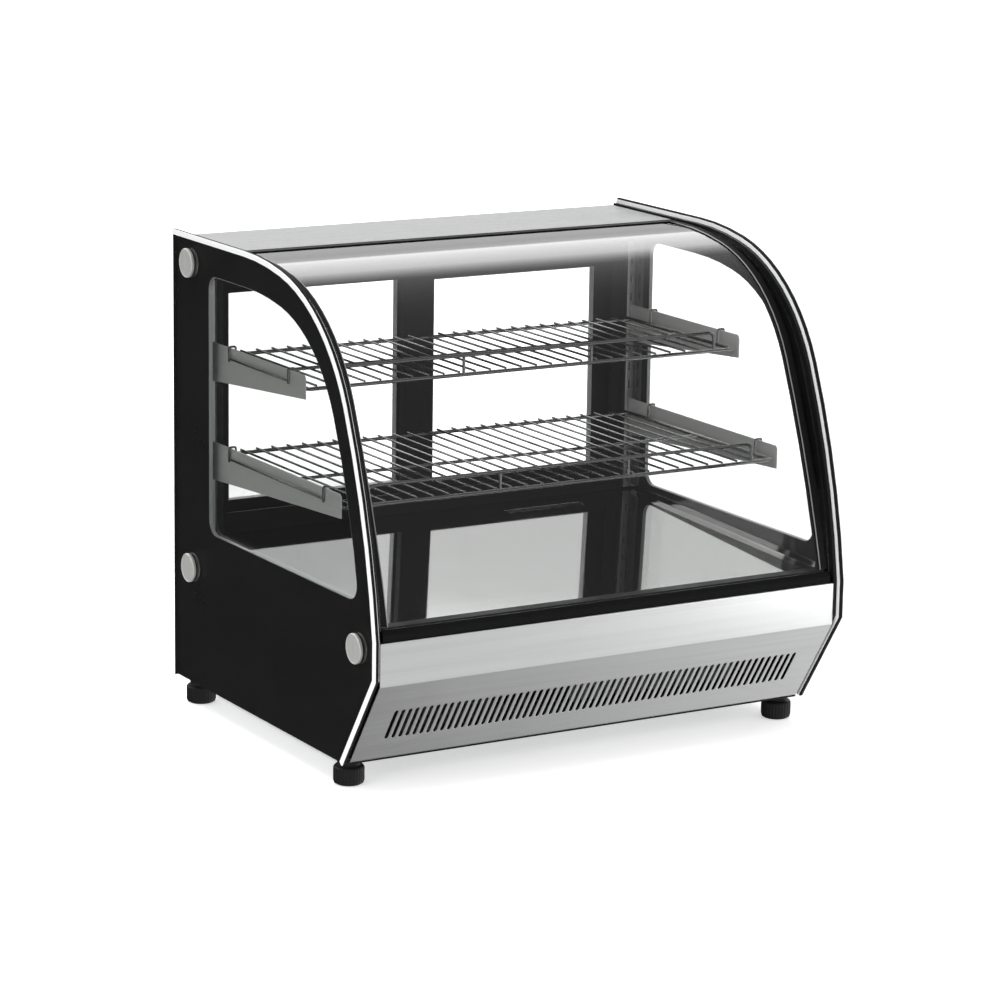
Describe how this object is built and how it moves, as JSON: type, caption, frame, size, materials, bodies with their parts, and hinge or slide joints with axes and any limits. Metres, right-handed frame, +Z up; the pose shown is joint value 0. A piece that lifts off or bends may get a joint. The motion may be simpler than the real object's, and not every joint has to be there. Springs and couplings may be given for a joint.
{
  "type": "countertop display case",
  "caption": "Countertop refrigerated bakery display case with a curved front glass, glazed sides, wire shelves, a slotted steel base and sliding rear doors.",
  "frame": {"origin": "on the counter, under the middle of the case", "axes": "+X to the right seen from the customer's side, +Y to the service side, +Z up"},
  "size_m": [0.709, 0.57, 0.644],
  "materials": {
    "clear_glass": "clear tempered glass, polished, slightly green at the edges",
    "black_panel": "black printed border, glossy",
    "bright_trim": "bright satin aluminium",
    "black_rubber": "matt black rubber",
    "brushed_cap": "brushed steel disc, bright edge",
    "aluminium": "grey satin aluminium",
    "black_frame": "aluminium profile, black powder coat, satin",
    "brushed_steel": "stainless steel, brushed lengthways",
    "mirror_steel": "polished stainless steel, near mirror",
    "galvanised": "galvanised sheet",
    "chrome_wire": "chromed wire",
    "lamp_body": "white lamp with frosted lens",
    "coil_fins": "thin fins on copper tubes",
    "black_plastic": "black moulded plastic",
    "black_paint": "black enamel",
    "insulation": "moulded foam",
    "grey_plastic": "dark grey plastic",
    "button_plastic": "light grey plastic",
    "foot_rubber": "black fluted rubber"
  },
  "bodies": {
    "case": {"side_glass_left": "clear_glass", "side_frame_left": "black_panel", "inner_glass_left": "clear_glass", "edge_trim_left": "bright_trim", "trim_insert_left": "black_rubber", "cap_top_left": "brushed_cap", "cap_rear_left": "brushed_cap", "cap_front_left": "brushed_cap", "shelf_standard_left": "aluminium", "bracket_upper_left": "brushed_steel", "bracket_lower_left": "brushed_steel", "side_glass_right": "clear_glass", "side_frame_right": "black_panel", "inner_glass_right": "clear_glass", "edge_trim_right": "bright_trim", "trim_insert_right": "black_rubber", "cap_top_right": "brushed_cap", "cap_rear_right": "brushed_cap", "cap_front_right": "brushed_cap", "shelf_standard_right": "aluminium", "bracket_upper_right": "brushed_steel", "bracket_lower_right": "brushed_steel", "front_glass": "clear_glass", "glass_seal": "black_rubber", "glass_sill": "black_frame", "top_panel": "brushed_steel", "rear_frame": "black_frame", "bottom_track": "aluminium", "deck": "mirror_steel", "front_fascia": "brushed_steel", "base_pan": "galvanised", "led_lamp": "lamp_body", "condenser": "coil_fins", "fan_shroud": "black_frame", "compressor": "black_paint", "evaporator_box": "insulation", "evaporator": "coil_fins", "rear_panel": "brushed_steel", "controller": "black_plastic", "switch_housing": "black_plastic", "power_inlet": "black_plastic"},
    "door_left": {"door_frame_left": "black_frame", "door_glass_left": "clear_glass"},
    "door_right": {"door_frame_right": "black_frame", "door_glass_right": "clear_glass"},
    "upper_shelf": {"shelf_upper": "chrome_wire"},
    "lower_shelf": {"shelf_lower": "chrome_wire"},
    "condenser_wheel": {"condenser_fan": "black_plastic"},
    "evaporator_wheel": {"evaporator_fan": "black_plastic"},
    "power_rocker": {"power_switch": "black_plastic"},
    "light_rocker": {"light_switch": "black_plastic"},
    "set_key": {"button_set": "button_plastic"},
    "up_key": {"button_up": "button_plastic"},
    "down_key": {"button_down": "button_plastic"},
    "tray": {"drip_tray": "grey_plastic"},
    "front_left_foot": {"foot_front_left": "foot_rubber"},
    "front_right_foot": {"foot_front_right": "foot_rubber"},
    "rear_left_foot": {"foot_rear_left": "foot_rubber"},
    "rear_right_foot": {"foot_rear_right": "foot_rubber"}
  },
  "joints": [
    {"name": "left_door_slide", "type": "slide", "parent": "case", "child": "door_left", "axis": [1, 0, 0], "range_m": [0, 0.3]},
    {"name": "right_door_slide", "type": "slide", "parent": "case", "child": "door_right", "axis": [-1, 0, 0], "range_m": [0, 0.3]},
    {"name": "upper_shelf_lift", "type": "slide", "parent": "case", "child": "upper_shelf", "axis": [0, 0, 1], "range_m": [0, 0.03]},
    {"name": "lower_shelf_lift", "type": "slide", "parent": "case", "child": "lower_shelf", "axis": [0, 0, 1], "range_m": [0, 0.03]},
    {"name": "condenser_fan_spin", "type": "hinge", "parent": "case", "child": "condenser_wheel", "pos_m": [0.15, -0.09, 0.117], "axis": [0, 1, 0], "continuous": true},
    {"name": "evaporator_fan_spin", "type": "hinge", "parent": "case", "child": "evaporator_wheel", "pos_m": [0.165, 0.172, 0.143], "axis": [0, 0, 1], "continuous": true},
    {"name": "power_rocker_tilt", "type": "hinge", "parent": "case", "child": "power_rocker", "pos_m": [-0.15, 0.2801, 0.151], "axis": [1, 0, 0], "range_deg": [-14, 0]},
    {"name": "light_rocker_tilt", "type": "hinge", "parent": "case", "child": "light_rocker", "pos_m": [-0.182, 0.2801, 0.151], "axis": [1, 0, 0], "range_deg": [-14, 0]},
    {"name": "tray_slide", "type": "slide", "parent": "case", "child": "tray", "axis": [0, 1, 0], "range_m": [0, 0.15]},
    {"name": "set_key_press", "type": "slide", "parent": "case", "child": "set_key", "axis": [0, -1, 0], "range_m": [0, 0.001], "stiffness_N_per_m": 300, "springref_m": -0.001},
    {"name": "up_key_press", "type": "slide", "parent": "case", "child": "up_key", "axis": [0, -1, 0], "range_m": [0, 0.001], "stiffness_N_per_m": 300, "springref_m": -0.001},
    {"name": "down_key_press", "type": "slide", "parent": "case", "child": "down_key", "axis": [0, -1, 0], "range_m": [0, 0.001], "stiffness_N_per_m": 300, "springref_m": -0.001},
    {"name": "front_left_foot_turn", "type": "hinge", "parent": "case", "child": "front_left_foot", "pos_m": [-0.326, -0.173, 0.01], "axis": [0, 0, 1], "range_deg": [-180, 180]},
    {"name": "front_right_foot_turn", "type": "hinge", "parent": "case", "child": "front_right_foot", "pos_m": [0.326, -0.173, 0.01], "axis": [0, 0, 1], "range_deg": [-180, 180]},
    {"name": "rear_left_foot_turn", "type": "hinge", "parent": "case", "child": "rear_left_foot", "pos_m": [-0.326, 0.251, 0.01], "axis": [0, 0, 1], "range_deg": [-180, 180]},
    {"name": "rear_right_foot_turn", "type": "hinge", "parent": "case", "child": "rear_right_foot", "pos_m": [0.326, 0.251, 0.01], "axis": [0, 0, 1], "range_deg": [-180, 180]}
  ]
}
